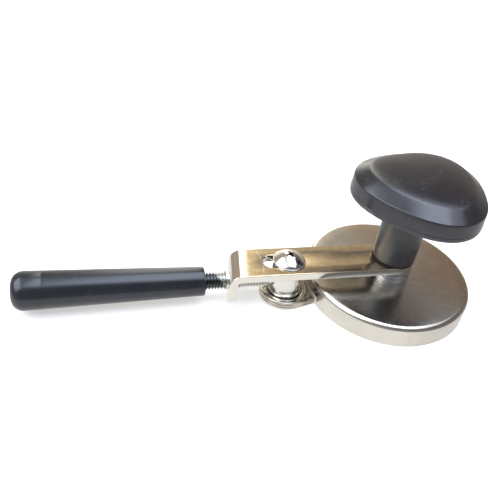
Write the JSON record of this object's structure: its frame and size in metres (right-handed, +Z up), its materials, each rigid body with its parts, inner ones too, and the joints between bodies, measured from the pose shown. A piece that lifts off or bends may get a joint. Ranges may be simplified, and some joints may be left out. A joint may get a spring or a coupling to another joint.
{
  "type": "manual can opener",
  "caption": "Hand can opener: round locating cup, flat arm, screw-fed rim cutter in a slot, black side grip and a free-turning palm knob on a stem.",
  "frame": {"origin": "centre of the cup in the plane of its rim", "axes": "+Z up along the cup's and palm knob's axis; the arm, feed screw and grip run along -X"},
  "size_m": [0.2141, 0.08, 0.0676],
  "materials": {
    "nickel_plate": "satin nickel plate, lightly brushed and worn",
    "bright_steel": "machined bright steel",
    "zinc_plate": "bright zinc plate",
    "screw_chrome": "polished domed head",
    "tool_steel": "hardened and ground",
    "brass": "turned, inside the grip and the stem",
    "black_washer": "matt black",
    "black_gloss": "moulded black, semi-gloss, scuffed",
    "black_knob": "moulded black, soft gloss, fine scratches",
    "grey_stem": "moulded dark grey, satin"
  },
  "bodies": {
    "frame": {"cup": "nickel_plate", "cup_washer": "zinc_plate", "spindle": "bright_steel", "boss_bush": "bright_steel", "arm": "nickel_plate", "leg_nut": "zinc_plate", "clamp_washer": "zinc_plate", "clamp_nut": "zinc_plate", "thrust_washer": "black_washer", "retaining_washer": "zinc_plate", "retaining_screw": "bright_steel"},
    "carriage": {"post": "bright_steel", "post_screw": "screw_chrome", "screw_washer": "zinc_plate", "cutter_ring": "nickel_plate", "cutter_blade": "tool_steel", "blade_screws": "bright_steel", "ring_screw": "bright_steel"},
    "handle": {"feed_rod": "zinc_plate", "grip": "black_gloss", "grip_insert": "brass", "grip_end_cap": "black_gloss"},
    "palm": {"knob_stem": "grey_stem", "stem_bush": "brass", "palm_base": "black_knob", "palm_cap": "black_knob", "shell_screws": "zinc_plate"}
  },
  "joints": [
    {"name": "palm_turn", "type": "hinge", "parent": "frame", "child": "palm", "pos_m": [0, 0, 0.053], "axis": [0, 0, 1], "continuous": true},
    {"name": "blade_feed", "type": "slide", "parent": "frame", "child": "carriage", "axis": [1, 0, 0], "range_m": [-0.00705, 0.00141]},
    {"name": "handle_turn", "type": "hinge", "parent": "carriage", "child": "handle", "pos_m": [-0.0918, 0, 0.0107], "axis": [1, 0, 0], "range_deg": [-1836, 396]}
  ],
  "couplings": [
    {"joint": "handle_turn", "follows": "blade_feed", "rad_per_m": 4453}
  ]
}
